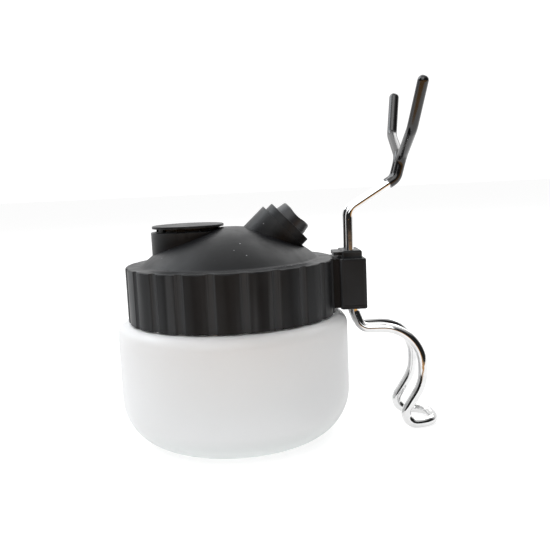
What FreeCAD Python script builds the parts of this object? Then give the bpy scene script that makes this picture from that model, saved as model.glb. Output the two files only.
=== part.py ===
"""Airbrush cleaning pot: a squat glass jar under a screw lid that carries a filter tube,
a slanted spray port, a wire fork that holds the airbrush and a wire stand that steadies it.

Millimetres, +Z up. The origin is the centre of the jar's base, on the jar's axis.
+X points from the jar's axis to the holder. The front of the pot faces -Y.
"""
import FreeCAD, Part
import os
from math import atan2, cos, pi, radians, sin, sqrt, tan

V = FreeCAD.Vector
Y_AXIS = V(0, 1, 0)
Z_AXIS = V(0, 0, 1)

# ---- Driving dimensions ------------------------------------------------------------------

# Clearances and fits, used wherever two pieces meet.
RUNNING_FIT = 0.05        # radial gap of a round piece that slides in its bore
BLOCK_FIT = 0.10          # gap on each side of the fork block in its pocket
FREE_GAP = 0.6            # gap between faces that pass each other and never touch
OVERCUT = 1.0             # how far a cut runs past the face it opens

# Glass jar.
JAR_R = 47.5
JAR_BASE_R = 30.5         # radius of the flat that the jar stands on
JAR_CORNER_H = 19.3       # height of the rounded lower corner
JAR_WALL = 3.0
JAR_FLOOR = 4.5
JAR_SHOULDER_R = 4.5
JAR_SHOULDER_Z = 49.7
NECK_WALL = 2.8
GASKET_T = 1.5
GASKET_W = 5.4

# Screw thread between the jar's neck and the lid.
THREAD_PITCH = 6.0
THREAD_DEPTH = 2.0
THREAD_ROOT_W = 2.4
THREAD_CREST_W = 1.2
THREAD_SIDE_GAP = 0.3     # axial gap between the two ridges
THREAD_SUNK = 0.8         # how deep a ridge is rooted in its wall
JAR_THREAD_TURN = 360.0   # degrees of ridge on the jar
LID_THREAD_TURN = 300.0   # degrees of ridge in the lid
THREAD_STEP = 10.0        # degrees from one section of a ridge to the next
JAR_THREAD_RISE = 5.2     # from the shoulder to the start of the jar's ridge

# Screw lid: grooved skirt, flat ring, low dome.
SKIRT_STEP = 4.5          # how far the skirt stands inside the jar's wall
SKIRT_H = 22.2
SKIRT_WALL = 1.15         # wall behind a groove
PLATE_T = 2.2
GROOVE_COUNT = 22
GROOVE_W = 3.6
GROOVE_DEPTH = 1.0
LOBE_CROWN = 0.22
GROOVE_EDGE_R = 0.7
LID_EDGE_R = 0.8
DOME_H = 14.3             # dome's crown above the lid's ring
DOME_R = 54.0             # radius of the dome's sphere
DOME_FLARE_R = 2.5        # hollow curve from the dome to the ring
DOME_WALL = 2.0
DOME_HOLLOW_STEP = 1.0    # edge of the dome's hollow inside the jar's neck

# Filter tube in the lid and its cap.
FILTER_R = 15.2
FILTER_WALL = 1.85
FILTER_RISE = 13.2        # tube's rim above the lid's ring
FILTER_LEDGE_T = 2.0
FILTER_LEDGE_W = 2.0
FILTER_DEPTH = 15.0       # rim to ledge
NECK_GAP = 3.55           # filter tube to the inside of the jar's neck
CAP_OVERHANG = 1.65       # cap's edge beyond its neck
CAP_T = 1.0
CAP_EDGE_R = 0.35
CAP_GAP = 1.6             # air gap between the tube's rim and the cap
CAP_NECK_GAP = 0.3        # radial gap of the cap's neck in the tube, bridged by its ring
CAP_NECK_WALL = 1.3
VENT_COUNT = 8
VENT_SPAN = 30.0
VENT_H = 1.3
PAD_GAP = 0.1             # play of the pads in the cap
RETAINER_T = 1.6
RETAINER_RIM = 1.8
RETAINER_BAR = 1.4
CAP_RING_R = 0.45         # section radius of the cap's sealing ring
CAP_RING_DROP = 4.0       # rim to the middle of the sealing ring

# Slanted spray port, measured along its own axis from its rim.
PORT_SLOPE = 43.0         # of the axis above the horizontal, degrees
PORT_R = 12.2
PORT_WALL = 1.1
PORT_RISE = 12.9          # centre of the port's rim above the lid's ring
PORT_SPACING = 24.4       # filter tube's near side to the centre of the port's rim
PORT_DEPTH = 12.0
PORT_FLOOR_T = 2.5
COLLAR_PROUD = 3.4
COLLAR_EDGE_R = 0.35
COLLAR_FLOOR_T = 5.0
COLLAR_RING_R = 0.85
SEAL_R = 7.6
SEAL_TIP_R = 6.8
SEAL_PROUD = 4.2
SEAL_BORE_R = 4.5
SEAL_LIP_R = 0.9
SEAL_SADDLE_R = 15.0
SEAL_SADDLE_DEPTH = 0.55
SEAL_MOUTH_DEPTH = 2.0
SEAL_MOUTH_WIDEN = 1.2

# Drop tube that leads the spray down into the jar.
DROP_R = 6.0
DROP_WALL = 1.2
DROP_BEND_R = 8.0
DROP_BEND_DEPTH = 8.5     # port floor's upper face to the corner of the bend
DROP_END_Z = 33.0
DROP_CUT = 30.0           # slant of the lower end, degrees

# Bracket on the skirt.
BRACKET_REACH = 12.05     # bracket's outer face beyond the skirt
BRACKET_LEN = 10.8
BRACKET_W = 23.0
BRACKET_NECK_W = 20.0
BRACKET_ROOT = 3.0        # how far the bracket reaches inside the skirt before boring
BRACKET_DROP = 0.4        # bracket's top below the lid's ring
BRACKET_LIFT = 1.2        # bracket's bottom above the skirt's bottom
BRACKET_EDGE_R = 1.4
BRACKET_RIM_R = 0.6
BRACKET_LINE = 0.3        # depth and height of the shadow line near the bottom
BRACKET_LINE_Z = 1.3

# Wire fork and its block.
FORK_WIRE_R = 1.5
FORK_BACK = 5.75          # fork's stems behind the bracket's outer face
FORK_STEM_Y = 5.0
BLOCK_LEN = 8.2
BLOCK_W = 16.0
BLOCK_EDGE = 1.2          # block's outer side behind the bracket's outer face
BLOCK_PROUD = 3.0
BLOCK_DEPTH = 11.4
BLOCK_EDGE_R = 0.8
BLOCK_TONGUE_LEN = 3.2
BLOCK_TONGUE_W = 13.0
BLOCK_TONGUE_T = 1.4
BLOCK_TONGUE_DROP = 0.5   # block's top to the tongue's top
FORK_U_DROP = 7.9         # bracket's top down to the lowest line of the fork's wire
FORK_STEM_RISE = 19.3     # bracket's top to the first bend
FORK_ARM_REACH = 20.2     # first bend to the foot of the shank
FORK_ARM_RISE = 11.9
FORK_SHANK_REACH = 2.4    # the two shanks run side by side
FORK_SHANK_RISE = 8.6
FORK_SHANK_Y = 2.5
FORK_SPREAD_REACH = 0.6   # top of the shank to the knee
FORK_SPREAD_RISE = 10.0
FORK_KNEE_Y = 20.0
FORK_TIP_REACH = 2.8      # knee to tip
FORK_TIP_RISE = 16.8
FORK_TIP_Y = 27.2
FORK_BENDS = (5.0, 5.0, 6.0, 6.0)
FORK_U_R = 4.8            # turn that joins the two stems inside the block
SLEEVE_R = 2.1
SLEEVE_LEAD = 3.8         # sleeve's start before the foot of the shank
SLEEVE_TIP = 1.2          # wire's end before the centre of the sleeve's round tip

# Wire stand under the bracket.
STAND_WIRE_R = 2.0
STAND_BACK = 4.3          # stand's stems behind the bracket's outer face
STAND_STEM_Y = 4.0
STAND_SOCKET = 7.0
STAND_EXIT_DROP = 2.5     # bracket's bottom to the first bend
STAND_KNEE_DROP = 9.1     # bracket's bottom to the horizontal run
STAND_KNEE_REACH = 2.4
STAND_KNEE_Y = 5.6
STAND_RUN = 24.1
STAND_ELBOW_Y = 8.6
STAND_WAIST_Z = 19.2
STAND_TUCK = 11.0         # how far the leg comes back in above the foot
STAND_FOOT_Y = 10.2
STAND_FOOT_REACH = 16.6
STAND_BENDS = (5.0, 4.5, 16.0, 17.0, 4.4, 8.3)

# ---- Sizes and places that follow --------------------------------------------------------

SKIRT_R = JAR_R - SKIRT_STEP
SKIRT_BORE_R = SKIRT_R - GROOVE_DEPTH - SKIRT_WALL
NECK_R = SKIRT_BORE_R - THREAD_DEPTH - FREE_GAP
NECK_BORE_R = NECK_R - NECK_WALL

SKIRT_Z = JAR_SHOULDER_Z + FREE_GAP
LID_Z = SKIRT_Z + SKIRT_H
PLATE_Z = LID_Z - PLATE_T
RIM_Z = PLATE_Z - GASKET_T

CROWN_Z = LID_Z + DOME_H

FILTER_X = -(NECK_BORE_R - NECK_GAP - FILTER_R)
FILTER_BORE_R = FILTER_R - FILTER_WALL
FILTER_RIM_Z = LID_Z + FILTER_RISE
FILTER_LEDGE_Z = FILTER_RIM_Z - FILTER_DEPTH
CAP_NECK_R = FILTER_BORE_R - CAP_NECK_GAP
CAP_BORE_R = CAP_NECK_R - CAP_NECK_WALL
CAP_Z = FILTER_RIM_Z + CAP_GAP
PAD_T = (CAP_Z - FILTER_LEDGE_Z - RETAINER_T - PAD_GAP) / 2

PORT_X = FILTER_X + FILTER_R + PORT_SPACING
PORT_Z = LID_Z + PORT_RISE
PORT_BORE_R = PORT_R - PORT_WALL
COLLAR_R = PORT_BORE_R - FREE_GAP
COLLAR_BORE_R = SEAL_R + RUNNING_FIT
DROP_BORE_R = DROP_R - DROP_WALL

BRACKET_X = SKIRT_R + BRACKET_REACH
BRACKET_Z = SKIRT_Z + BRACKET_LIFT
BRACKET_TOP_Z = LID_Z - BRACKET_DROP
FORK_X = BRACKET_X - FORK_BACK
STAND_X = BRACKET_X - STAND_BACK


# ---- Building blocks ---------------------------------------------------------------------

def cylinder(radius, z0, z1, x=0.0):
    """A cylinder on a vertical axis at x, from z0 to z1."""
    return Part.makeCylinder(radius, z1 - z0, V(x, 0, z0), Z_AXIS)


def tube(outer, inner, z0, z1, x=0.0):
    """A tube on a vertical axis at x, from z0 to z1."""
    return cylinder(outer, z0, z1, x).cut(cylinder(inner, z0, z1, x))


def box(x0, x1, y0, y1, z0, z1):
    """A box between two corners."""
    return Part.makeBox(x1 - x0, y1 - y0, z1 - z0, V(x0, y0, z0))


def upright_edges(solid):
    """The vertical straight edges of a solid."""
    found = []
    for edge in solid.Edges:
        if len(edge.Vertexes) != 2:
            continue
        run = edge.Vertexes[1].Point - edge.Vertexes[0].Point
        if abs(run.x) < 1e-6 and abs(run.y) < 1e-6:
            found.append(edge)
    return found


def level_edges(solid, z):
    """The edges of a solid that lie at height z."""
    return [edge for edge in solid.Edges
            if abs(edge.BoundBox.ZMin - z) < 1e-6 and abs(edge.BoundBox.ZMax - z) < 1e-6]


def revolve(edges):
    """Turn a closed outline in the XZ plane round the Z axis."""
    return Part.Face(Part.Wire(edges)).revolve(V(0, 0, 0), Z_AXIS, 360)


def line(a, b):
    """A straight edge between two (r, z) points of an outline."""
    return Part.LineSegment(V(a[0], 0, a[1]), V(b[0], 0, b[1])).toShape()


def arc(a, mid, b):
    """An arc through three (r, z) points of an outline."""
    return Part.Arc(V(a[0], 0, a[1]), V(mid[0], 0, mid[1]), V(b[0], 0, b[1])).toShape()


def round_path(points, radii):
    """A wire of straight runs joined by tangent arcs, one radius for each inner point."""
    edges = []
    start = points[0]
    for before, corner, after, radius in zip(points, points[1:], points[2:], radii):
        into = (corner - before).normalize()
        out = (after - corner).normalize()
        half_turn = into.getAngle(out) / 2
        setback = radius * tan(half_turn)
        first = corner - into * setback
        last = corner + out * setback
        inward = (out - into).normalize()
        centre = corner + inward * (radius / cos(half_turn))
        edges.append(Part.LineSegment(start, first).toShape())
        edges.append(Part.Arc(first, centre - inward * radius, last).toShape())
        start = last
    edges.append(Part.LineSegment(start, points[-1]).toShape())
    return Part.Wire(edges)


def rod(points, radii, section_r):
    """A round bar of radius section_r along a rounded path."""
    path = round_path(points, radii)
    way = (points[1] - points[0]).normalize()
    section = Part.Wire([Part.makeCircle(section_r, points[0], way)])
    return path.makePipeShell([section], True, False)


def mirrored(points):
    """The points again on the other side of the plane y = 0, in the reverse order."""
    return [V(p.x, -p.y, p.z) for p in reversed(points)]


def thread_ridge(root_r, crest_r, z_start, turn):
    """A helical ridge: sections every THREAD_STEP degrees, joined by ruled faces."""
    count = int(round(turn / THREAD_STEP))
    base_r = root_r - THREAD_SUNK if crest_r > root_r else root_r + THREAD_SUNK
    sections = []
    for i in range(count + 1):
        angle = radians(i * turn / count)
        z = z_start + THREAD_PITCH * angle / (2 * pi)
        corners = []
        for radius, half in ((base_r, THREAD_ROOT_W / 2), (root_r, THREAD_ROOT_W / 2),
                             (crest_r, THREAD_CREST_W / 2), (crest_r, -THREAD_CREST_W / 2),
                             (root_r, -THREAD_ROOT_W / 2), (base_r, -THREAD_ROOT_W / 2)):
            corners.append(V(radius * cos(angle), radius * sin(angle), z + half))
        sections.append(Part.makePolygon(corners + corners[:1]))
    return Part.makeLoft(sections, True, True)


def at_port(solid):
    """Move a solid from the port's own frame, +Z out along its axis, to its place."""
    placed = solid.copy()
    tilt = FreeCAD.Rotation(Y_AXIS, 90 - PORT_SLOPE)
    placed.Placement = FreeCAD.Placement(V(PORT_X, 0, PORT_Z), tilt)
    return placed


# ---- Jar ---------------------------------------------------------------------------------

def quarter_ellipse(centre_r, centre_z, half_r, half_z):
    """The lower outer quarter of an ellipse, from its lowest point to its outermost one."""
    low = (centre_r, centre_z - half_z)
    out = (centre_r + half_r, centre_z)
    major = V(half_r, 0, 0)
    minor = V(0, 0, -half_z)
    if half_z > half_r:
        major, minor = minor, major
    centre = V(centre_r, 0, centre_z)
    ellipse = Part.Ellipse(centre + major, centre + minor, centre)
    a = ellipse.parameter(V(low[0], 0, low[1]))
    b = ellipse.parameter(V(out[0], 0, out[1]))
    if (b - a) % (2 * pi) > pi:
        a, b = b, a
    return ellipse.toShape(a, b if b > a else b + 2 * pi)


def jar_outline():
    """The jar's section: outside from the base up to the rim, then back down inside."""
    corner_w = JAR_R - JAR_BASE_R
    inner_r = JAR_R - JAR_WALL
    shoulder_z = JAR_SHOULDER_Z - JAR_SHOULDER_R
    bend = JAR_SHOULDER_R * cos(pi / 4)
    inner_bend_r = JAR_SHOULDER_R - JAR_WALL / 3
    inner_bend = inner_bend_r * cos(pi / 4)
    ceiling_z = JAR_SHOULDER_Z - JAR_WALL
    shoulder_in = JAR_R - JAR_SHOULDER_R
    outer = [
        line((0, 0), (JAR_BASE_R, 0)),
        quarter_ellipse(JAR_BASE_R, JAR_CORNER_H, corner_w, JAR_CORNER_H),
        line((JAR_R, JAR_CORNER_H), (JAR_R, shoulder_z)),
        arc((JAR_R, shoulder_z), (shoulder_in + bend, shoulder_z + bend),
            (shoulder_in, JAR_SHOULDER_Z)),
        line((shoulder_in, JAR_SHOULDER_Z), (NECK_R, JAR_SHOULDER_Z)),
        line((NECK_R, JAR_SHOULDER_Z), (NECK_R, RIM_Z)),
        line((NECK_R, RIM_Z), (NECK_BORE_R, RIM_Z)),
    ]
    inner = [
        line((NECK_BORE_R, RIM_Z), (NECK_BORE_R, ceiling_z)),
        line((NECK_BORE_R, ceiling_z), (inner_r - inner_bend_r, ceiling_z)),
        arc((inner_r - inner_bend_r, ceiling_z),
            (inner_r - inner_bend_r + inner_bend, ceiling_z - inner_bend_r + inner_bend),
            (inner_r, ceiling_z - inner_bend_r)),
        line((inner_r, ceiling_z - inner_bend_r), (inner_r, JAR_CORNER_H)),
        quarter_ellipse(JAR_BASE_R - JAR_WALL, JAR_CORNER_H, corner_w,
                        JAR_CORNER_H - JAR_FLOOR),
        line((JAR_BASE_R - JAR_WALL, JAR_FLOOR), (0, JAR_FLOOR)),
        line((0, JAR_FLOOR), (0, 0)),
    ]
    return outer + inner


def thread_start_z():
    """Height of the middle of the jar's ridge where it starts."""
    return JAR_SHOULDER_Z + JAR_THREAD_RISE


def make_jar():
    """Squat round-cornered glass jar with a threaded neck."""
    edges = Part.sortEdges(jar_outline())[0]
    body = revolve(edges)
    ridge = thread_ridge(NECK_R, NECK_R + THREAD_DEPTH, thread_start_z(), JAR_THREAD_TURN)
    return body.fuse(ridge)


def make_gasket():
    """Flat ring between the jar's rim and the lid."""
    outer = SKIRT_BORE_R - FREE_GAP
    return tube(outer, outer - GASKET_W, RIM_Z, PLATE_Z)


# ---- Lid ---------------------------------------------------------------------------------

def grooved_skirt():
    """Prism with shallow vertical grooves between gently rounded lobes."""
    pitch = 2 * pi / GROOVE_COUNT
    half_groove = GROOVE_W / 2 / SKIRT_R
    shoulder = SKIRT_R - LOBE_CROWN
    edges = []

    def on(radius, angle):
        return V(radius * cos(angle), radius * sin(angle), SKIRT_Z)

    for i in range(GROOVE_COUNT):
        middle = i * pitch
        left = middle - half_groove
        right = middle + half_groove
        far = middle + pitch - half_groove
        groove = Part.Arc(on(shoulder, left), on(SKIRT_R - GROOVE_DEPTH, middle),
                          on(shoulder, right))
        lobe = Part.Arc(on(shoulder, right), on(SKIRT_R, middle + pitch / 2),
                        on(shoulder, far))
        edges += [groove.toShape(), lobe.toShape()]
    prism = Part.Face(Part.Wire(edges)).extrude(V(0, 0, SKIRT_H))
    return prism.makeFillet(GROOVE_EDGE_R, upright_edges(prism))


def edge_rounder():
    """Everything inside the skirt's rounded top edge and slightly rounded bottom edge."""
    r = SKIRT_R + 0.01
    e = LID_EDGE_R
    b = e / 2
    k = 1 - cos(pi / 4)
    outline = [line((0, SKIRT_Z), (r - b, SKIRT_Z)),
               arc((r - b, SKIRT_Z), (r - b * k, SKIRT_Z + b * k), (r, SKIRT_Z + b)),
               line((r, SKIRT_Z + b), (r, LID_Z - e)),
               arc((r, LID_Z - e), (r - e * k, LID_Z - e * k), (r - e, LID_Z)),
               line((r - e, LID_Z), (0, LID_Z)),
               line((0, LID_Z), (0, SKIRT_Z))]
    return revolve(outline)


def on_circle(centre_r, centre_z, radius, angle):
    """The (r, z) point of a circle at an angle, counted up from the outward direction."""
    return centre_r + radius * cos(angle), centre_z + radius * sin(angle)


def dome_outside():
    """Low dome with a hollow curve at its foot that runs out into the ring."""
    centre_z = CROWN_Z - DOME_R
    flare_z = LID_Z + DOME_FLARE_R
    flare_r = sqrt((DOME_R + DOME_FLARE_R) ** 2 - (flare_z - centre_z) ** 2)
    lean = atan2(flare_z - centre_z, flare_r)
    foot = on_circle(0, centre_z, DOME_R, lean)
    dome_mid = on_circle(0, centre_z, DOME_R, (lean + pi / 2) / 2)
    flare_mid = on_circle(flare_r, flare_z, DOME_FLARE_R, (lean + pi + 1.5 * pi) / 2)
    return revolve([line((0, PLATE_Z), (flare_r, PLATE_Z)),
                    line((flare_r, PLATE_Z), (flare_r, LID_Z)),
                    arc((flare_r, LID_Z), flare_mid, foot),
                    arc(foot, dome_mid, (0, CROWN_Z)),
                    line((0, CROWN_Z), (0, PLATE_Z))])


def dome_inside():
    """Hollow under the dome, open at the lid's underside."""
    centre_z = CROWN_Z - DOME_R
    radius = DOME_R - DOME_WALL
    edge_r = NECK_BORE_R - DOME_HOLLOW_STEP
    lean = atan2(sqrt(radius ** 2 - edge_r ** 2), edge_r)
    edge = on_circle(0, centre_z, radius, lean)
    mid = on_circle(0, centre_z, radius, (lean + pi / 2) / 2)
    low_z = PLATE_Z - OVERCUT
    crown_z = centre_z + radius
    return revolve([line((0, low_z), (edge_r, low_z)),
                    line((edge_r, low_z), edge),
                    arc(edge, mid, (0, crown_z)),
                    line((0, crown_z), (0, low_z))])


def bracket_outside():
    """Block on the skirt that takes the fork above and the stand below."""
    x0 = BRACKET_X - BRACKET_LEN
    half = BRACKET_W / 2
    block = box(x0, BRACKET_X, -half, half, BRACKET_Z, BRACKET_TOP_Z)
    block = block.makeFillet(BRACKET_EDGE_R, upright_edges(block))
    rims = level_edges(block, BRACKET_TOP_Z) + level_edges(block, BRACKET_Z)
    block = block.makeFillet(BRACKET_RIM_R, rims)
    line_z = BRACKET_Z + BRACKET_LINE_Z
    wide = half + OVERCUT
    shadow = box(x0 - OVERCUT, BRACKET_X + OVERCUT, -wide, wide, line_z, line_z + BRACKET_LINE)
    keep = box(x0 + BRACKET_LINE, BRACKET_X - BRACKET_LINE, -half + BRACKET_LINE,
               half - BRACKET_LINE, line_z, line_z + BRACKET_LINE)
    block = block.cut(shadow.cut(keep))
    neck_half = BRACKET_NECK_W / 2
    neck = box(SKIRT_BORE_R - BRACKET_ROOT, x0 + OVERCUT, -neck_half, neck_half,
               BRACKET_Z + BRACKET_RIM_R, BRACKET_TOP_Z)
    return block.fuse(neck)


def block_pocket():
    """Space for the fork block, open at the top."""
    x1 = BRACKET_X - BLOCK_EDGE + BLOCK_FIT
    x0 = x1 - BLOCK_LEN - 2 * BLOCK_FIT
    half = BLOCK_W / 2 + BLOCK_FIT
    return box(x0, x1, -half, half, BRACKET_TOP_Z - BLOCK_DEPTH, BRACKET_TOP_Z + OVERCUT)


def stand_sockets():
    """Two blind holes in the bracket's underside for the stand's wire."""
    holes = []
    for side in (-1, 1):
        foot = V(STAND_X, side * STAND_STEM_Y, BRACKET_Z)
        holes.append(Part.makeCylinder(STAND_WIRE_R, STAND_SOCKET, foot, Z_AXIS))
    return holes


def port_outside():
    """Outside of the slanted tube, down to the underside of its floor."""
    return at_port(cylinder(PORT_R, -PORT_DEPTH - PORT_FLOOR_T, 0))


def port_inside():
    """Bore of the slanted tube and the hole in its floor."""
    bore = cylinder(PORT_BORE_R, -PORT_DEPTH, OVERCUT)
    hole = cylinder(DROP_R, -PORT_DEPTH - PORT_FLOOR_T - OVERCUT, -PORT_DEPTH + OVERCUT)
    return at_port(bore.fuse(hole))


def make_lid_shell():
    """Lid in one moulding: skirt, ring, dome, filter tube, port and bracket."""
    shell = grooved_skirt().common(edge_rounder())
    shell = shell.fuse(dome_outside())
    shell = shell.fuse(bracket_outside())
    shell = shell.cut(cylinder(SKIRT_BORE_R, SKIRT_Z - OVERCUT, PLATE_Z))
    shell = shell.cut(dome_inside())
    shell = shell.fuse(cylinder(FILTER_R, FILTER_LEDGE_Z - FILTER_LEDGE_T, FILTER_RIM_Z,
                                FILTER_X))
    shell = shell.fuse(port_outside())
    shell = shell.cut(cylinder(FILTER_BORE_R, FILTER_LEDGE_Z, FILTER_RIM_Z + OVERCUT, FILTER_X))
    shell = shell.cut(cylinder(FILTER_BORE_R - FILTER_LEDGE_W,
                               FILTER_LEDGE_Z - FILTER_LEDGE_T - OVERCUT,
                               FILTER_LEDGE_Z + OVERCUT, FILTER_X))
    shell = shell.cut(port_inside())
    shell = shell.cut(block_pocket())
    for socket in stand_sockets():
        shell = shell.cut(socket)
    half_widths = (THREAD_ROOT_W + THREAD_CREST_W) / 2
    lid_start_z = thread_start_z() - half_widths - THREAD_SIDE_GAP
    ridge = thread_ridge(SKIRT_BORE_R, SKIRT_BORE_R - THREAD_DEPTH, lid_start_z,
                         LID_THREAD_TURN)
    return shell.fuse(ridge).removeSplitter()


def make_drop_tube():
    """Bent tube from the port's floor down into the jar, cut on the slant at its end."""
    slope = radians(PORT_SLOPE)
    along = V(cos(slope), 0, sin(slope))
    rim = V(PORT_X, 0, PORT_Z)
    top = rim - along * PORT_DEPTH
    corner = rim - along * (PORT_DEPTH + DROP_BEND_DEPTH)
    low = V(corner.x, 0, DROP_END_Z - DROP_R)
    pipe = rod([top, corner, low], [DROP_BEND_R], DROP_R)
    pipe = pipe.cut(rod([top, corner, low], [DROP_BEND_R], DROP_BORE_R))
    cutter = Part.makeBox(6 * DROP_R, 6 * DROP_R, 4 * DROP_R,
                          V(-3 * DROP_R, -3 * DROP_R, -4 * DROP_R))
    tilt = FreeCAD.Rotation(Y_AXIS, DROP_CUT)
    lift = DROP_R * tan(radians(DROP_CUT))
    cutter.Placement = FreeCAD.Placement(V(corner.x, 0, DROP_END_Z + lift), tilt)
    return pipe.cut(cutter)


# ---- Filter cap --------------------------------------------------------------------------

def cap_ring(section_r, x):
    """Sealing ring of the filter cap; its outside has a running fit in the tube."""
    return Part.makeTorus(FILTER_BORE_R - RUNNING_FIT - section_r, section_r,
                          V(x, 0, FILTER_RIM_Z - CAP_RING_DROP), Z_AXIS)


def make_filter_cap():
    """Thin round cap on a hollow neck, with vents in the air gap under its edge."""
    neck = tube(CAP_NECK_R, CAP_BORE_R, FILTER_LEDGE_Z, CAP_Z, FILTER_X)
    plate = cylinder(CAP_NECK_R + CAP_OVERHANG, CAP_Z, CAP_Z + CAP_T, FILTER_X)
    plate = plate.makeFillet(CAP_EDGE_R, level_edges(plate, CAP_Z + CAP_T))
    cap = plate.fuse(neck)
    vent_z = CAP_Z - VENT_H
    for i in range(VENT_COUNT):
        vent = Part.makeCylinder(CAP_NECK_R + OVERCUT, VENT_H, V(0, 0, 0), Z_AXIS, VENT_SPAN)
        vent = vent.cut(cylinder(CAP_BORE_R - OVERCUT, 0, VENT_H))
        vent.Placement = FreeCAD.Placement(V(FILTER_X, 0, vent_z),
                                           FreeCAD.Rotation(Z_AXIS, i * 360.0 / VENT_COUNT))
        cap = cap.cut(vent)
    return cap.cut(cap_ring(CAP_RING_R, FILTER_X))


def make_cap_ring():
    """Rubber sealing ring in the groove of the cap's neck."""
    return cap_ring(CAP_RING_R, FILTER_X)


def make_retainer():
    """Grille that holds the pads in the cap's neck: a rim and two crossed bars."""
    outer = CAP_BORE_R
    z0 = FILTER_LEDGE_Z
    z1 = z0 + RETAINER_T
    grille = tube(outer, outer - RETAINER_RIM, z0, z1, FILTER_X)
    reach = outer - RETAINER_RIM / 2
    half = RETAINER_BAR / 2
    grille = grille.fuse(box(FILTER_X - reach, FILTER_X + reach, -half, half, z0, z1))
    grille = grille.fuse(box(FILTER_X - half, FILTER_X + half, -reach, reach, z0, z1))
    return grille.removeSplitter()


def make_pad(level):
    """Round filter pad; level 0 lies on the retainer and level 1 fills up to the vents."""
    z0 = FILTER_LEDGE_Z + RETAINER_T + level * PAD_T
    return cylinder(CAP_BORE_R - PAD_GAP, z0, z0 + PAD_T, FILTER_X)


# ---- Port insert -------------------------------------------------------------------------

def collar_ring():
    """Sealing ring of the collar in the port's own frame."""
    major = PORT_BORE_R - RUNNING_FIT - COLLAR_RING_R
    return Part.makeTorus(major, COLLAR_RING_R, V(0, 0, -PORT_DEPTH / 2), Z_AXIS)


def make_collar():
    """Collar that fills the port, stands proud of it and holds the nozzle seal."""
    body = cylinder(COLLAR_R, -PORT_DEPTH, COLLAR_PROUD)
    body = body.makeFillet(COLLAR_EDGE_R, level_edges(body, COLLAR_PROUD))
    body = body.cut(cylinder(COLLAR_BORE_R, -PORT_DEPTH + COLLAR_FLOOR_T,
                             COLLAR_PROUD + OVERCUT))
    body = body.cut(cylinder(DROP_BORE_R, -PORT_DEPTH - OVERCUT, COLLAR_PROUD))
    return at_port(body.cut(collar_ring()))


def make_collar_ring():
    """Rubber ring between the collar and the port."""
    return at_port(collar_ring())


def make_nozzle_seal():
    """Rubber seal with a saddle-shaped mouth that takes the airbrush's nose."""
    top = COLLAR_PROUD + SEAL_PROUD
    bottom = -PORT_DEPTH + COLLAR_FLOOR_T
    nub = Part.makeCone(SEAL_R, SEAL_TIP_R, SEAL_PROUD, V(0, 0, COLLAR_PROUD), Z_AXIS)
    body = cylinder(SEAL_R, bottom, COLLAR_PROUD).fuse(nub)
    body = body.makeFillet(SEAL_LIP_R, level_edges(body, top))
    saddle_z = top + SEAL_SADDLE_R - SEAL_SADDLE_DEPTH
    saddle = Part.makeCylinder(SEAL_SADDLE_R, 4 * SEAL_R, V(0, -2 * SEAL_R, saddle_z), Y_AXIS)
    body = body.cut(saddle)
    body = body.cut(cylinder(SEAL_BORE_R, bottom - OVERCUT, top + OVERCUT))
    mouth_z = top - SEAL_SADDLE_DEPTH - SEAL_MOUTH_DEPTH
    mouth = Part.makeCone(SEAL_BORE_R, SEAL_BORE_R + 2 * SEAL_MOUTH_WIDEN,
                          2 * SEAL_MOUTH_DEPTH, V(0, 0, mouth_z), Z_AXIS)
    return at_port(body.cut(mouth))


# ---- Fork --------------------------------------------------------------------------------

def fork_arm():
    """Corner points of one arm of the fork, from its first bend to its tip, at -Y."""
    x = FORK_X
    z = BRACKET_TOP_Z + FORK_STEM_RISE
    points = [V(x, -FORK_STEM_Y, z)]
    for reach, y, rise in ((FORK_ARM_REACH, FORK_SHANK_Y, FORK_ARM_RISE),
                           (FORK_SHANK_REACH, FORK_SHANK_Y, FORK_SHANK_RISE),
                           (FORK_SPREAD_REACH, FORK_KNEE_Y, FORK_SPREAD_RISE),
                           (FORK_TIP_REACH, FORK_TIP_Y, FORK_TIP_RISE)):
        x += reach
        z += rise
        points.append(V(x, -y, z))
    return points


def wire_end(points):
    """The arm's points with the last one drawn back to where the wire ends."""
    way = (points[-1] - points[-2]).normalize()
    return points[:-1] + [points[-1] - way * SLEEVE_TIP]


def make_fork_wire():
    """One bent wire: two stems joined by a U inside the block, and two arms."""
    foot_z = BRACKET_TOP_Z - FORK_U_DROP + FORK_WIRE_R
    arm = wire_end(fork_arm())
    half = [V(FORK_X, -FORK_STEM_Y, foot_z)] + arm
    bends = [FORK_U_R] + list(FORK_BENDS)
    return rod(mirrored(half) + half, bends[::-1] + bends, FORK_WIRE_R)


def make_sleeve(side):
    """Soft sleeve on one arm with a round closed tip; side is -1 in front, 1 behind."""
    arm = fork_arm()
    lead = (arm[1] - arm[0]).normalize()
    start = arm[1] - lead * SLEEVE_LEAD
    points = [start] + arm[1:]
    bends = FORK_BENDS[1:]
    sleeve = rod(points, bends, SLEEVE_R).fuse(Part.makeSphere(SLEEVE_R, arm[-1]))
    sleeve = sleeve.cut(rod(wire_end(points), bends, FORK_WIRE_R))
    if side > 0:
        sleeve = sleeve.mirror(V(0, 0, 0), Y_AXIS)
    return sleeve


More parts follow.
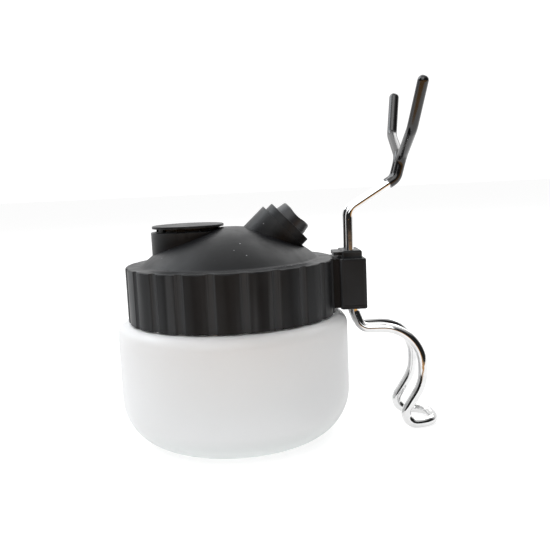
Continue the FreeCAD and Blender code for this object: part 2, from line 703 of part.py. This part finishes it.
def make_fork_block(fork_wire):
    """Plug moulded round the foot of the fork's wire, with a thumb tongue on the jar's side."""
    x1 = BRACKET_X - BLOCK_EDGE
    x0 = x1 - BLOCK_LEN
    half = BLOCK_W / 2
    top = BRACKET_TOP_Z + BLOCK_PROUD
    block = box(x0, x1, -half, half, BRACKET_TOP_Z - BLOCK_DEPTH, top)
    block = block.makeFillet(BLOCK_EDGE_R, upright_edges(block) + level_edges(block, top))
    tongue_half = BLOCK_TONGUE_W / 2
    tongue_z = top - BLOCK_TONGUE_DROP
    tongue = box(x0 - BLOCK_TONGUE_LEN, x0 + 2 * BLOCK_EDGE_R, -tongue_half, tongue_half,
                 tongue_z - BLOCK_TONGUE_T, tongue_z)
    tongue = tongue.makeFillet(BLOCK_EDGE_R, upright_edges(tongue))
    return block.fuse(tongue).cut(fork_wire)


# ---- Stand -------------------------------------------------------------------------------

def make_stand_wire():
    """One bent wire: two legs out of the bracket and a U-shaped foot on the table."""
    stem = V(STAND_X, -STAND_STEM_Y, BRACKET_Z)
    knee = V(STAND_X + STAND_KNEE_REACH, -STAND_KNEE_Y, BRACKET_Z - STAND_KNEE_DROP)
    elbow = V(knee.x + STAND_RUN, -STAND_ELBOW_Y, knee.z)
    heel_x = elbow.x - STAND_TUCK
    leg = [stem + V(0, 0, STAND_SOCKET),
           stem - V(0, 0, STAND_EXIT_DROP),
           knee,
           elbow,
           V(elbow.x, -STAND_FOOT_Y, STAND_WAIST_Z),
           V(heel_x, -STAND_FOOT_Y, STAND_WIRE_R),
           V(heel_x + STAND_FOOT_REACH, -STAND_FOOT_Y, STAND_WIRE_R)]
    bends = STAND_BENDS + STAND_BENDS[::-1]
    return rod(leg + mirrored(leg), bends, STAND_WIRE_R)


# ---- Output ------------------------------------------------------------------------------

def main():
    """Build every piece and write one STEP file for each node."""
    os.makedirs("parts", exist_ok=True)
    fork_wire = make_fork_wire()
    nodes = {
        "jar": make_jar(),
        "lid_gasket": make_gasket(),
        "lid_shell": make_lid_shell(),
        "drop_tube": make_drop_tube(),
        "stand_wire": make_stand_wire(),
        "filter_cap": make_filter_cap(),
        "filter_cap_ring": make_cap_ring(),
        "filter_retainer": make_retainer(),
        "filter_pad_fine": make_pad(0),
        "filter_pad_coarse": make_pad(1),
        "port_collar": make_collar(),
        "port_collar_ring": make_collar_ring(),
        "nozzle_seal": make_nozzle_seal(),
        "fork_wire": fork_wire,
        "fork_block": make_fork_block(fork_wire),
        "fork_sleeve_front": make_sleeve(-1),
        "fork_sleeve_rear": make_sleeve(1),
    }
    for name, shape in nodes.items():
        shape.exportStep(os.path.join("parts", name + ".step"))
        print(name, "solids", len(shape.Solids), "valid", shape.isValid(),
              "volume", round(shape.Volume, 1))


main()
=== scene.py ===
"""Looks of the airbrush cleaning pot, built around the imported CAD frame.

Metres, +Z up, in the CAD's own frame. The camera stands in front, at -Y.
"""
import math

import bpy
from mathutils import Matrix, Vector

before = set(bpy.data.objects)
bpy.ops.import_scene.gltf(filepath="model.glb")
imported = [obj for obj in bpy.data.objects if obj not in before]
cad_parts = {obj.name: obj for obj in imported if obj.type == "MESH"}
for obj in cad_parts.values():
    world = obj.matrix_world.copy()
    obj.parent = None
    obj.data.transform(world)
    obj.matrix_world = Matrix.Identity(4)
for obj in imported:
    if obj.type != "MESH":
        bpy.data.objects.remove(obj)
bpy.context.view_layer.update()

MM = 0.001
WHITE = (1.0, 1.0, 1.0, 1.0)

# Camera in front of the pot.
CAMERA_AT = (10.92 * MM, -294.32 * MM, 104.11 * MM)
CAMERA_YAW = 1.427          # degrees to the right of +Y
CAMERA_PITCH = 7.449        # degrees below the horizon
CAMERA_ROLL = -2.595        # degrees
CAMERA_LENS = 46.56         # millimetres
SENSOR_WIDTH = 36.0         # millimetres

FLOOR_FRONT = -0.185        # the white floor ends here, in front of the pot
FLOOR_SIDE = 4.0
FLOOR_BACK = 8.0
FLOOR_GLOW = 0.74           # keeps the far floor as bright as the near floor
FLOOR_DARK = (0.38, 0.38, 0.38, 1)
FLOOR_PALE = (0.39, 0.39, 0.39, 1)
TABLE_BROWN = (0.80, 0.42, 0.13, 1)
BACKDROP = 1.1              # brightness of the white behind the floor

# Soft boxes: name, place, height aimed at, side, power, colour.
LIGHTS = [
    ("top_box", (-0.1, 0.50, 0.9), 0.05, 1.6, 7, (1, 1, 1)),
    ("left_box", (-0.62, 0.24, 0.75), 0.06, 0.60, 4, (0.90, 0.95, 1.0)),
    ("right_box", (0.50, 0.55, 0.75), 0.06, 0.60, 3, (1, 1, 1)),
    ("front_fill", (-0.3, -0.95, 0.9), 0.04, 1.2, 10, (1, 1, 1)),
]

# Plastics: material, nodes, dark and pale tone, roughness, share of dust.
LID_TONES = ((0.005, 0.0053, 0.006, 1), (0.009, 0.0094, 0.0105, 1))
COLLAR_TONES = ((0.008, 0.0085, 0.0095, 1), (0.014, 0.015, 0.017, 1))
DROP_TONES = ((0.020, 0.021, 0.023, 1), (0.035, 0.036, 0.040, 1))
PLASTICS = [
    ("lid_black", ["lid_shell"], LID_TONES, 0.40, 0.8),
    ("cap_black", ["filter_cap", "filter_retainer"], LID_TONES, 0.40, 0.4),
    ("collar_black", ["port_collar"], COLLAR_TONES, 0.36, 0.0),
    ("block_black", ["fork_block"], LID_TONES, 0.36, 0.0),
    ("drop_black", ["drop_tube"], DROP_TONES, 0.45, 0.0),
]
RUBBED = (0.09, 0.095, 0.10, 1)
DUST = (0.42, 0.43, 0.45, 1)
GRAIN = 1100                # features to the metre
GRAIN_DEPTH = 0.00004

# Rubbers: material, nodes, dark and pale tone, roughness.
SEAL_TONES = ((0.012, 0.0125, 0.015, 1), (0.022, 0.023, 0.028, 1))
RING_TONES = ((0.015, 0.015, 0.015, 1), (0.035, 0.035, 0.035, 1))
GASKET_TONES = ((0.62, 0.62, 0.60, 1), (0.74, 0.74, 0.72, 1))
RUBBERS = [
    ("seal_rubber", ["nozzle_seal"], SEAL_TONES, 0.42),
    ("ring_rubber", ["filter_cap_ring", "port_collar_ring"], RING_TONES, 0.45),
    ("gasket_white", ["lid_gasket"], GASKET_TONES, 0.60),
]

# Filter pads: material, node, dark and pale tone.
PADS = [
    ("fine_fibre", "filter_pad_fine", (0.62, 0.62, 0.59, 1), (0.85, 0.85, 0.82, 1)),
    ("coarse_fibre", "filter_pad_coarse", (0.03, 0.03, 0.03, 1), (0.12, 0.12, 0.12, 1)),
]

CHROME_PALE = (0.72, 0.72, 0.72, 1)
CHROME_DULL = (0.64, 0.64, 0.64, 1)
SLEEVE_TONES = ((0.004, 0.004, 0.0045, 1), (0.009, 0.009, 0.010, 1))
GLASS_TONES = ((0.94, 0.945, 0.95, 1), (0.98, 0.98, 0.98, 1))
BASE_GLASS = (0.76, 0.80, 0.79, 1)
BASE_GLASS_TOP = 0.012      # the jar's thick base looks greenish up to this height


# ---- Node helpers ------------------------------------------------------------------------

class Shader:
    """A node material with one Principled shader and short ways to feed it."""

    def __init__(self, name, **settings):
        self.material = bpy.data.materials.new(name)
        self.material.use_nodes = True
        self.nodes = self.material.node_tree.nodes
        self.links = self.material.node_tree.links
        self.bsdf = self.nodes["Principled BSDF"]
        self.place = self.nodes.new("ShaderNodeTexCoord").outputs["Object"]
        for socket, value in settings.items():
            self.bsdf.inputs[socket.replace("_", " ")].default_value = value

    def feed(self, value, socket):
        """Link an output to an input, or set the input to a plain value."""
        if isinstance(value, bpy.types.NodeSocket):
            self.links.new(value, socket)
        else:
            socket.default_value = value

    def stretched(self, scale):
        """Object coordinates scaled along each axis."""
        node = self.nodes.new("ShaderNodeMapping")
        node.inputs["Scale"].default_value = scale
        self.links.new(self.place, node.inputs["Vector"])
        return node.outputs["Vector"]

    def noise(self, scale, detail=3.0, roughness=0.5, place=None, distortion=0.0):
        """Smooth noise; scale is in features to the metre."""
        node = self.nodes.new("ShaderNodeTexNoise")
        node.inputs["Scale"].default_value = scale
        node.inputs["Detail"].default_value = detail
        node.inputs["Roughness"].default_value = roughness
        node.inputs["Distortion"].default_value = distortion
        self.links.new(place or self.place, node.inputs["Vector"])
        return node.outputs["Fac"]

    def cells(self, scale, place=None):
        """Distance to the nearest of scattered points, and a random value for each."""
        node = self.nodes.new("ShaderNodeTexVoronoi")
        node.inputs["Scale"].default_value = scale
        self.links.new(place or self.place, node.inputs["Vector"])
        return node.outputs["Distance"], node.outputs["Color"]

    def spread(self, value, low, high, to_low=0.0, to_high=1.0):
        """Map low..high to to_low..to_high, clamped."""
        node = self.nodes.new("ShaderNodeMapRange")
        self.feed(value, node.inputs["Value"])
        node.inputs["From Min"].default_value = low
        node.inputs["From Max"].default_value = high
        node.inputs["To Min"].default_value = to_low
        node.inputs["To Max"].default_value = to_high
        return node.outputs["Result"]

    def sum(self, operation, a, b):
        """One arithmetic step on two values."""
        node = self.nodes.new("ShaderNodeMath")
        node.operation = operation
        self.feed(a, node.inputs[0])
        self.feed(b, node.inputs[1])
        return node.outputs[0]

    def mix(self, share, a, b):
        """Mix two colours."""
        node = self.nodes.new("ShaderNodeMix")
        node.data_type = "RGBA"
        self.feed(share, node.inputs[0])
        self.feed(a, node.inputs[6])
        self.feed(b, node.inputs[7])
        return node.outputs[2]

    def bump(self, height, distance, strength=1.0, under=None):
        """Bump of a given depth in metres."""
        node = self.nodes.new("ShaderNodeBump")
        node.inputs["Strength"].default_value = strength
        node.inputs["Distance"].default_value = distance
        self.links.new(height, node.inputs["Height"])
        if under is not None:
            self.links.new(under, node.inputs["Normal"])
        return node.outputs["Normal"]

    def part(self, axis):
        """One coordinate of the surface point."""
        node = self.nodes.new("ShaderNodeSeparateXYZ")
        self.links.new(self.place, node.inputs[0])
        return node.outputs[axis]

    def up_facing(self):
        """The upward part of the surface's normal."""
        geometry = self.nodes.new("ShaderNodeNewGeometry")
        node = self.nodes.new("ShaderNodeSeparateXYZ")
        self.links.new(geometry.outputs["Normal"], node.inputs[0])
        return node.outputs["Z"]

    def worn_edge(self):
        """How convex the surface is here, from 0 to 1."""
        geometry = self.nodes.new("ShaderNodeNewGeometry")
        return self.spread(geometry.outputs["Pointiness"], 0.52, 0.60)

    def color(self, value):
        self.feed(value, self.bsdf.inputs["Base Color"])

    def rough(self, value):
        self.feed(value, self.bsdf.inputs["Roughness"])

    def normal(self, value):
        self.feed(value, self.bsdf.inputs["Normal"])


# ---- Materials ---------------------------------------------------------------------------

def dust(shader, scale, size, share):
    """Sparse specks: 1 on a speck and 0 elsewhere."""
    distance, tint = shader.cells(scale)
    speck = shader.spread(distance, size, size * 0.5)
    separate = shader.nodes.new("ShaderNodeSeparateColor")
    shader.links.new(tint, separate.inputs[0])
    chosen = shader.spread(separate.outputs[0], share, share * 0.9)
    return shader.sum("MULTIPLY", speck, chosen)


def moulded_plastic(name, tones, rough, dusty):
    """Dark moulded plastic: fine grain, cloudy sheen, rubbed edges and a little dust."""
    s = Shader(name, Specular_IOR_Level=0.13)
    cloud = s.noise(55, 4, 0.6)
    body = s.mix(s.spread(cloud, 0.35, 0.7), *tones)
    body = s.mix(s.sum("MULTIPLY", s.worn_edge(), 0.35), body, RUBBED)
    if dusty:
        specks = dust(s, 420, 0.13, 0.12)
        on_top = s.spread(s.up_facing(), 0.2, 0.7)
        share = s.sum("MULTIPLY", specks, on_top)
        body = s.mix(s.sum("MULTIPLY", share, dusty), body, DUST)
    s.color(body)
    streak = s.noise(130, 3, 0.6, s.stretched((1, 1, 0.25)))
    s.rough(s.spread(streak, 0.3, 0.75, rough - 0.06, rough + 0.08))
    broad = s.bump(s.noise(GRAIN * 0.35, 3), GRAIN_DEPTH * 3, 0.25)
    s.normal(s.bump(s.noise(GRAIN * 2.4, 2, 0.5), GRAIN_DEPTH, 0.35, broad))
    return s.material


def frosted_glass(name):
    """Etched white glass, uneven and hazy in places, greenish in its thick base."""
    s = Shader(name, IOR=1.46, Transmission_Weight=0.40)
    cloud = s.noise(28, 3, 0.5)
    base = s.spread(s.part("Z"), BASE_GLASS_TOP, 0.0)
    s.color(s.mix(base, s.mix(cloud, *GLASS_TONES), BASE_GLASS))
    s.rough(s.spread(s.noise(70, 4, 0.6), 0.3, 0.7, 0.34, 0.46))
    s.normal(s.bump(s.noise(1500, 2), 0.00003, 0.3, s.bump(s.noise(60, 2), 0.0004, 0.08)))
    return s.material


def chrome(name):
    """Bright plated wire with a fine bumpy surface, faint haze and a few small pits."""
    s = Shader(name, Metallic=1.0)
    haze = s.noise(240, 4, 0.65)
    s.color(s.mix(s.spread(haze, 0.4, 0.75), CHROME_PALE, CHROME_DULL))
    s.rough(s.spread(haze, 0.35, 0.8, 0.045, 0.12))
    pits = dust(s, 900, 0.12, 0.08)
    s.normal(s.bump(pits, -0.00002, 0.5, s.bump(s.noise(330, 2), 0.00006, 0.22)))
    return s.material


def dipped_vinyl(name):
    """Glossy black dipped sleeve: slightly lumpy, with a clear surface."""
    s = Shader(name, Specular_IOR_Level=0.6)
    cloud = s.noise(150, 3)
    s.color(s.mix(cloud, *SLEEVE_TONES))
    s.rough(s.spread(s.noise(260, 4, 0.6), 0.3, 0.75, 0.10, 0.18))
    s.normal(s.bump(s.noise(110, 1), 0.00015, 0.2))
    return s.material


def soft_rubber(name, tones, rough):
    """Soft rubber with a dry bloom on it."""
    s = Shader(name, Specular_IOR_Level=0.4, Sheen_Weight=0.15)
    bloom = s.noise(180, 5, 0.65)
    s.color(s.mix(s.spread(bloom, 0.35, 0.75), *tones))
    s.rough(s.spread(bloom, 0.3, 0.8, rough - 0.08, rough + 0.1))
    s.normal(s.bump(s.noise(2600, 3), 0.00003, 0.4))
    return s.material


def filter_fibre(name, dark, pale):
    """Felted filter pad."""
    s = Shader(name, Specular_IOR_Level=0.2, Sheen_Weight=0.4)
    strands = s.noise(900, 6, 0.75, s.stretched((1, 1, 3)), 1.5)
    s.color(s.mix(s.spread(strands, 0.35, 0.7), dark, pale))
    s.rough(s.spread(strands, 0.3, 0.7, 0.85, 0.98))
    s.normal(s.bump(strands, 0.0004, 0.8))
    return s.material


def paint(nodes, material):
    """Give CAD nodes one material."""
    for name in nodes:
        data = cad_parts[name].data
        data.materials.clear()
        data.materials.append(material)


def paint_all():
    """Materials of every CAD node."""
    for name, nodes, tones, rough, dusty in PLASTICS:
        paint(nodes, moulded_plastic(name, tones, rough, dusty))
    paint(["jar"], frosted_glass("frosted_jar"))
    paint(["fork_wire", "stand_wire"], chrome("chrome_plate"))
    paint(["fork_sleeve_front", "fork_sleeve_rear"], dipped_vinyl("black_dip"))
    for name, nodes, tones, rough in RUBBERS:
        paint(nodes, soft_rubber(name, tones, rough))
    for name, node, dark, pale in PADS:
        paint([node], filter_fibre(name, dark, pale))


# ---- Stage -------------------------------------------------------------------------------

def make_floor():
    """Plain white floor that runs far back."""
    corners = [(-FLOOR_SIDE, FLOOR_FRONT, 0), (FLOOR_SIDE, FLOOR_FRONT, 0),
               (FLOOR_SIDE, FLOOR_BACK, 0), (-FLOOR_SIDE, FLOOR_BACK, 0)]
    mesh = bpy.data.meshes.new("floor")
    mesh.from_pydata(corners, [], [(0, 1, 2, 3)])
    floor = bpy.data.objects.new("floor", mesh)
    bpy.context.scene.collection.objects.link(floor)
    s = Shader("floor_white", Specular_IOR_Level=0.0, Emission_Color=WHITE,
               Emission_Strength=FLOOR_GLOW)
    s.color(s.mix(s.noise(3), FLOOR_DARK, FLOOR_PALE))
    s.rough(0.8)
    mesh.materials.append(s.material)


def make_world():
    """White studio: bright behind and above, dark in front, with a brown table low down."""
    world = bpy.data.worlds.new("studio")
    bpy.context.scene.world = world
    world.use_nodes = True
    nodes = world.node_tree.nodes
    links = world.node_tree.links
    nodes.clear()
    place = nodes.new("ShaderNodeTexCoord")
    split = nodes.new("ShaderNodeSeparateXYZ")
    links.new(place.outputs["Generated"], split.inputs[0])

    def ramp(source, low, high, to_low, to_high):
        node = nodes.new("ShaderNodeMapRange")
        node.interpolation_type = "SMOOTHSTEP"
        links.new(source, node.inputs["Value"])
        node.inputs["From Min"].default_value = low
        node.inputs["From Max"].default_value = high
        node.inputs["To Min"].default_value = to_low
        node.inputs["To Max"].default_value = to_high
        return node.outputs["Result"]

    def step(operation, a, b):
        node = nodes.new("ShaderNodeMath")
        node.operation = operation
        links.new(a, node.inputs[0])
        links.new(b, node.inputs[1])
        return node.outputs[0]

    behind = ramp(split.outputs["Y"], 0.0, 0.6, 0.02, 1.0)
    above = ramp(split.outputs["Z"], 0.5, 0.9, 0.0, 0.8)
    table = ramp(split.outputs["Z"], -0.06, -0.17, 0.0, 1.1)
    glow = step("MAXIMUM", step("MAXIMUM", behind, above), table)
    tint = nodes.new("ShaderNodeMix")
    tint.data_type = "RGBA"
    links.new(ramp(split.outputs["Z"], -0.05, -0.12, 0.0, 1.0), tint.inputs[0])
    tint.inputs[6].default_value = WHITE
    tint.inputs[7].default_value = TABLE_BROWN
    lit = nodes.new("ShaderNodeBackground")
    links.new(glow, lit.inputs["Strength"])
    links.new(tint.outputs[2], lit.inputs["Color"])
    seen = nodes.new("ShaderNodeBackground")
    seen.inputs["Color"].default_value = WHITE
    seen.inputs["Strength"].default_value = BACKDROP
    path = nodes.new("ShaderNodeLightPath")
    mix = nodes.new("ShaderNodeMixShader")
    links.new(path.outputs["Is Camera Ray"], mix.inputs[0])
    links.new(lit.outputs[0], mix.inputs[1])
    links.new(seen.outputs[0], mix.inputs[2])
    output = nodes.new("ShaderNodeOutputWorld")
    links.new(mix.outputs[0], output.inputs[0])


def make_lights():
    """Soft boxes above, behind and at both sides, with a weak fill in front."""
    for name, at, aim_z, side, power, color in LIGHTS:
        light = bpy.data.lights.new(name, "AREA")
        light.size = side
        light.energy = power
        light.color = color
        lamp = bpy.data.objects.new(name, light)
        lamp.location = at
        aim = Vector((0, 0, aim_z)) - Vector(at)
        lamp.rotation_mode = "QUATERNION"
        lamp.rotation_quaternion = aim.to_track_quat("-Z", "Y")
        bpy.context.scene.collection.objects.link(lamp)


def make_camera():
    """Camera at the viewing angle; the pot is seen from just above its lid."""
    data = bpy.data.cameras.new("camera")
    data.lens = CAMERA_LENS
    data.sensor_width = SENSOR_WIDTH
    data.clip_start = 0.01
    data.clip_end = 50.0
    camera = bpy.data.objects.new("camera", data)
    bpy.context.scene.collection.objects.link(camera)
    yaw, pitch, roll = (math.radians(a) for a in (CAMERA_YAW, CAMERA_PITCH, CAMERA_ROLL))
    look = Vector((math.sin(yaw) * math.cos(pitch), math.cos(yaw) * math.cos(pitch),
                   -math.sin(pitch)))
    right = Vector((math.cos(yaw), -math.sin(yaw), 0))
    up = right.cross(look)
    tilted_right = right * math.cos(roll) + up * math.sin(roll)
    tilted_up = up * math.cos(roll) - right * math.sin(roll)
    turn = Matrix((tilted_right, tilted_up, -look)).transposed()
    camera.matrix_world = Matrix.Translation(CAMERA_AT) @ turn.to_4x4()
    bpy.context.scene.camera = camera
    bpy.context.scene.view_settings.view_transform = "Standard"


make_camera()
make_world()
make_lights()
make_floor()
paint_all()
